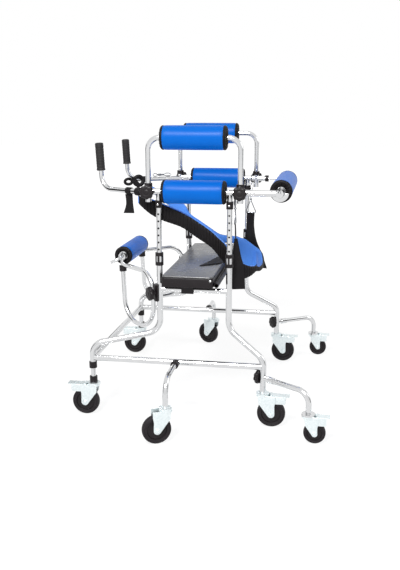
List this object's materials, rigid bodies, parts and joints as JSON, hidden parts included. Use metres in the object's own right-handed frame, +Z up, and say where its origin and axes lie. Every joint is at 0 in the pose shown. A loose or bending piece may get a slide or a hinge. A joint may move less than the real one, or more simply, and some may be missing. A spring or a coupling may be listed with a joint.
{
  "type": "gait trainer",
  "caption": "Chrome tube gait trainer on swivel casters, with blue padded arm, underarm, back and knee rollers, upright hand grips, a lift-off seat and a hip sling.",
  "frame": {"origin": "on the floor, midway between the four posts", "axes": "+X to the rear, +Y to the user's right, +Z up; the user faces -X"},
  "size_m": [0.949, 1.172, 1.0415],
  "materials": {
    "chrome_tube": "bright plated tube",
    "zinc": "bright zinc plate",
    "black_plastic": "moulded, fine grain",
    "tyre": "matte solid tyre",
    "blue_vinyl": "smooth vinyl cover with black gathered ends",
    "sling_fabric": "padded cloth, blue inside and black gathered outside",
    "webbing": "woven black webbing",
    "seat_board": "black shell with a glossy black top",
    "grip_rubber": "ribbed soft grip"
  },
  "bodies": {
    "base": {"front_legs": "chrome_tube", "rear_legs": "chrome_tube", "base_rails": "chrome_tube", "side_outriggers": "chrome_tube", "frame_collars": "black_plastic", "caster_heads": "zinc"},
    "upper_frame": {"inner_posts": "chrome_tube", "arm_tubes": "chrome_tube", "arm_fittings": "black_plastic", "arm_pads": "blue_vinyl", "sling_band": "sling_fabric", "sling_straps": "webbing"},
    "left_underarm": {"left_hoop": "chrome_tube", "left_underarm_pad": "blue_vinyl"},
    "right_underarm": {"right_hoop": "chrome_tube", "right_underarm_pad": "blue_vinyl"},
    "left_handle": {"left_handle_bar": "chrome_tube", "left_grip": "grip_rubber"},
    "right_handle": {"right_handle_bar": "chrome_tube", "right_grip": "grip_rubber"},
    "back_gate": {"back_rod": "chrome_tube", "back_pad": "blue_vinyl"},
    "knee_support": {"knee_loops": "chrome_tube", "knee_fittings": "black_plastic"},
    "knee_roller": {"knee_rod": "chrome_tube", "knee_pad": "blue_vinyl"},
    "left_tail": {"left_tail_arm": "chrome_tube"},
    "right_tail": {"right_tail_arm": "chrome_tube"},
    "seat": {"seat_board": "seat_board", "seat_frame": "chrome_tube"},
    "left_front_swivel": {"left_front_fork": "zinc"},
    "left_front_roll": {"left_front_wheel": "tyre"},
    "left_front_brake": {"left_front_pedal": "zinc"},
    "right_front_swivel": {"right_front_fork": "zinc"},
    "right_front_roll": {"right_front_wheel": "tyre"},
    "right_front_brake": {"right_front_pedal": "zinc"},
    "left_side_swivel": {"left_side_fork": "zinc"},
    "left_side_roll": {"left_side_wheel": "tyre"},
    "right_side_swivel": {"right_side_fork": "zinc"},
    "right_side_roll": {"right_side_wheel": "tyre"},
    "left_rear_swivel": {"left_rear_fork": "zinc"},
    "left_rear_roll": {"left_rear_wheel": "tyre"},
    "left_rear_brake": {"left_rear_pedal": "zinc"},
    "right_rear_swivel": {"right_rear_fork": "zinc"},
    "right_rear_roll": {"right_rear_wheel": "tyre"},
    "right_rear_brake": {"right_rear_pedal": "zinc"},
    "left_tail_swivel": {"left_tail_fork": "zinc"},
    "left_tail_roll": {"left_tail_wheel": "tyre"},
    "left_tail_brake": {"left_tail_pedal": "zinc"},
    "right_tail_swivel": {"right_tail_fork": "zinc"},
    "right_tail_roll": {"right_tail_wheel": "tyre"},
    "right_tail_brake": {"right_tail_pedal": "zinc"},
    "left_front_knob": {"left_front_knob": "black_plastic"},
    "left_rear_knob": {"left_rear_knob": "black_plastic"},
    "left_knee_knob": {"left_knee_knob": "black_plastic"},
    "left_tail_knob": {"left_tail_knob": "black_plastic"},
    "right_front_knob": {"right_front_knob": "black_plastic"},
    "right_rear_knob": {"right_rear_knob": "black_plastic"},
    "right_knee_knob": {"right_knee_knob": "black_plastic"},
    "right_tail_knob": {"right_tail_knob": "black_plastic"}
  },
  "joints": [
    {"name": "upper_height", "type": "slide", "parent": "base", "child": "upper_frame", "axis": [0, 0, 1], "range_m": [0, 0.125]},
    {"name": "left_underarm_slide", "type": "slide", "parent": "upper_frame", "child": "left_underarm", "axis": [0, 0, 1], "range_m": [-0.09, 0.02]},
    {"name": "left_handle_slide", "type": "slide", "parent": "upper_frame", "child": "left_handle", "axis": [-0.8781, 0.4785, 0], "range_m": [0, 0.025]},
    {"name": "right_underarm_slide", "type": "slide", "parent": "upper_frame", "child": "right_underarm", "axis": [0, 0, 1], "range_m": [-0.09, 0.02]},
    {"name": "right_handle_slide", "type": "slide", "parent": "upper_frame", "child": "right_handle", "axis": [-0.8781, -0.4785, 0], "range_m": [0, 0.025]},
    {"name": "back_gate_hinge", "type": "hinge", "parent": "upper_frame", "child": "back_gate", "pos_m": [0.206, 0.287, 0.816], "axis": [-1, 0, 0], "range_deg": [0, 100]},
    {"name": "knee_slide", "type": "slide", "parent": "base", "child": "knee_support", "axis": [0, 0, 1], "range_m": [-0.03, 0.03]},
    {"name": "knee_lift", "type": "slide", "parent": "knee_support", "child": "knee_roller", "axis": [0, 0, 1], "range_m": [0, 0.06]},
    {"name": "seat_lift", "type": "slide", "parent": "base", "child": "seat", "axis": [0, 0, 1], "range_m": [0, 0.012]},
    {"name": "left_tail_swing", "type": "hinge", "parent": "base", "child": "left_tail", "pos_m": [0.257, -0.354, 0.178], "axis": [-0.8265, 0.5629, 0], "range_deg": [0, 90]},
    {"name": "right_tail_swing", "type": "hinge", "parent": "base", "child": "right_tail", "pos_m": [0.257, 0.354, 0.178], "axis": [0.8265, 0.5629, 0], "range_deg": [0, 90]},
    {"name": "left_front_swivel_turn", "type": "hinge", "parent": "base", "child": "left_front_swivel", "pos_m": [-0.362, -0.354, 0.124], "axis": [0, 0, 1], "continuous": true},
    {"name": "left_front_wheel_turn", "type": "hinge", "parent": "left_front_swivel", "child": "left_front_roll", "pos_m": [-0.393, -0.354, 0.05], "axis": [0, -1, 0], "continuous": true},
    {"name": "left_front_brake_press", "type": "hinge", "parent": "left_front_swivel", "child": "left_front_brake", "pos_m": [-0.393, -0.354, 0.11595], "axis": [0, -1, 0], "range_deg": [0, 8]},
    {"name": "right_front_swivel_turn", "type": "hinge", "parent": "base", "child": "right_front_swivel", "pos_m": [-0.362, 0.354, 0.124], "axis": [0, 0, 1], "continuous": true},
    {"name": "right_front_wheel_turn", "type": "hinge", "parent": "right_front_swivel", "child": "right_front_roll", "pos_m": [-0.393, 0.354, 0.05], "axis": [0, -1, 0], "continuous": true},
    {"name": "right_front_brake_press", "type": "hinge", "parent": "right_front_swivel", "child": "right_front_brake", "pos_m": [-0.393, 0.354, 0.11595], "axis": [0, -1, 0], "range_deg": [0, 8]},
    {"name": "left_side_swivel_turn", "type": "hinge", "parent": "base", "child": "left_side_swivel", "pos_m": [-0.053, -0.542, 0.124], "axis": [0, 0, 1], "continuous": true},
    {"name": "left_side_wheel_turn", "type": "hinge", "parent": "left_side_swivel", "child": "left_side_roll", "pos_m": [-0.0811, -0.5551, 0.05], "axis": [0.4226, -0.9063, 0], "continuous": true},
    {"name": "right_side_swivel_turn", "type": "hinge", "parent": "base", "child": "right_side_swivel", "pos_m": [-0.053, 0.542, 0.124], "axis": [0, 0, 1], "continuous": true},
    {"name": "right_side_wheel_turn", "type": "hinge", "parent": "right_side_swivel", "child": "right_side_roll", "pos_m": [-0.0811, 0.5551, 0.05], "axis": [-0.4226, -0.9063, 0], "continuous": true},
    {"name": "left_rear_swivel_turn", "type": "hinge", "parent": "base", "child": "left_rear_swivel", "pos_m": [0.257, -0.354, 0.124], "axis": [0, 0, 1], "continuous": true},
    {"name": "left_rear_wheel_turn", "type": "hinge", "parent": "left_rear_swivel", "child": "left_rear_roll", "pos_m": [0.288, -0.354, 0.05], "axis": [0, 1, 0], "continuous": true},
    {"name": "left_rear_brake_press", "type": "hinge", "parent": "left_rear_swivel", "child": "left_rear_brake", "pos_m": [0.288, -0.354, 0.11595], "axis": [0, 1, 0], "range_deg": [0, 8]},
    {"name": "right_rear_swivel_turn", "type": "hinge", "parent": "base", "child": "right_rear_swivel", "pos_m": [0.257, 0.354, 0.124], "axis": [0, 0, 1], "continuous": true},
    {"name": "right_rear_wheel_turn", "type": "hinge", "parent": "right_rear_swivel", "child": "right_rear_roll", "pos_m": [0.288, 0.354, 0.05], "axis": [0, 1, 0], "continuous": true},
    {"name": "right_rear_brake_press", "type": "hinge", "parent": "right_rear_swivel", "child": "right_rear_brake", "pos_m": [0.288, 0.354, 0.11595], "axis": [0, 1, 0], "range_deg": [0, 8]},
    {"name": "left_tail_swivel_turn", "type": "hinge", "parent": "left_tail", "child": "left_tail_swivel", "pos_m": [0.42, -0.465, 0.104], "axis": [0, 0, 1], "continuous": true},
    {"name": "left_tail_wheel_turn", "type": "hinge", "parent": "left_tail_swivel", "child": "left_tail_roll", "pos_m": [0.442, -0.465, 0.0375], "axis": [0, 1, 0], "continuous": true},
    {"name": "left_tail_brake_press", "type": "hinge", "parent": "left_tail_swivel", "child": "left_tail_brake", "pos_m": [0.451, -0.465, 0.09595], "axis": [0, 1, 0], "range_deg": [0, 8]},
    {"name": "right_tail_swivel_turn", "type": "hinge", "parent": "right_tail", "child": "right_tail_swivel", "pos_m": [0.42, 0.465, 0.104], "axis": [0, 0, 1], "continuous": true},
    {"name": "right_tail_wheel_turn", "type": "hinge", "parent": "right_tail_swivel", "child": "right_tail_roll", "pos_m": [0.442, 0.465, 0.0375], "axis": [0, 1, 0], "continuous": true},
    {"name": "right_tail_brake_press", "type": "hinge", "parent": "right_tail_swivel", "child": "right_tail_brake", "pos_m": [0.451, 0.465, 0.09595], "axis": [0, 1, 0], "range_deg": [0, 8]},
    {"name": "left_front_knob_turn", "type": "hinge", "parent": "upper_frame", "child": "left_front_knob", "pos_m": [-0.161, -0.287, 0.816], "axis": [0, -1, 0], "continuous": true},
    {"name": "left_rear_knob_turn", "type": "hinge", "parent": "upper_frame", "child": "left_rear_knob", "pos_m": [0.161, -0.287, 0.816], "axis": [0, -1, 0], "continuous": true},
    {"name": "left_knee_knob_turn", "type": "hinge", "parent": "knee_support", "child": "left_knee_knob", "pos_m": [-0.125, -0.287, 0.455], "axis": [-0.766, -0.6428, 0], "continuous": true},
    {"name": "left_tail_knob_turn", "type": "hinge", "parent": "base", "child": "left_tail_knob", "pos_m": [0.257, -0.354, 0.178], "axis": [-0.8265, 0.5629, 0], "continuous": true},
    {"name": "right_front_knob_turn", "type": "hinge", "parent": "upper_frame", "child": "right_front_knob", "pos_m": [-0.161, 0.287, 0.816], "axis": [0, 1, 0], "continuous": true},
    {"name": "right_rear_knob_turn", "type": "hinge", "parent": "upper_frame", "child": "right_rear_knob", "pos_m": [0.161, 0.287, 0.816], "axis": [0, 1, 0], "continuous": true},
    {"name": "right_knee_knob_turn", "type": "hinge", "parent": "knee_support", "child": "right_knee_knob", "pos_m": [-0.125, 0.287, 0.455], "axis": [-0.766, 0.6428, 0], "continuous": true},
    {"name": "right_tail_knob_turn", "type": "hinge", "parent": "base", "child": "right_tail_knob", "pos_m": [0.257, 0.354, 0.178], "axis": [-0.8265, -0.5629, 0], "continuous": true}
  ]
}
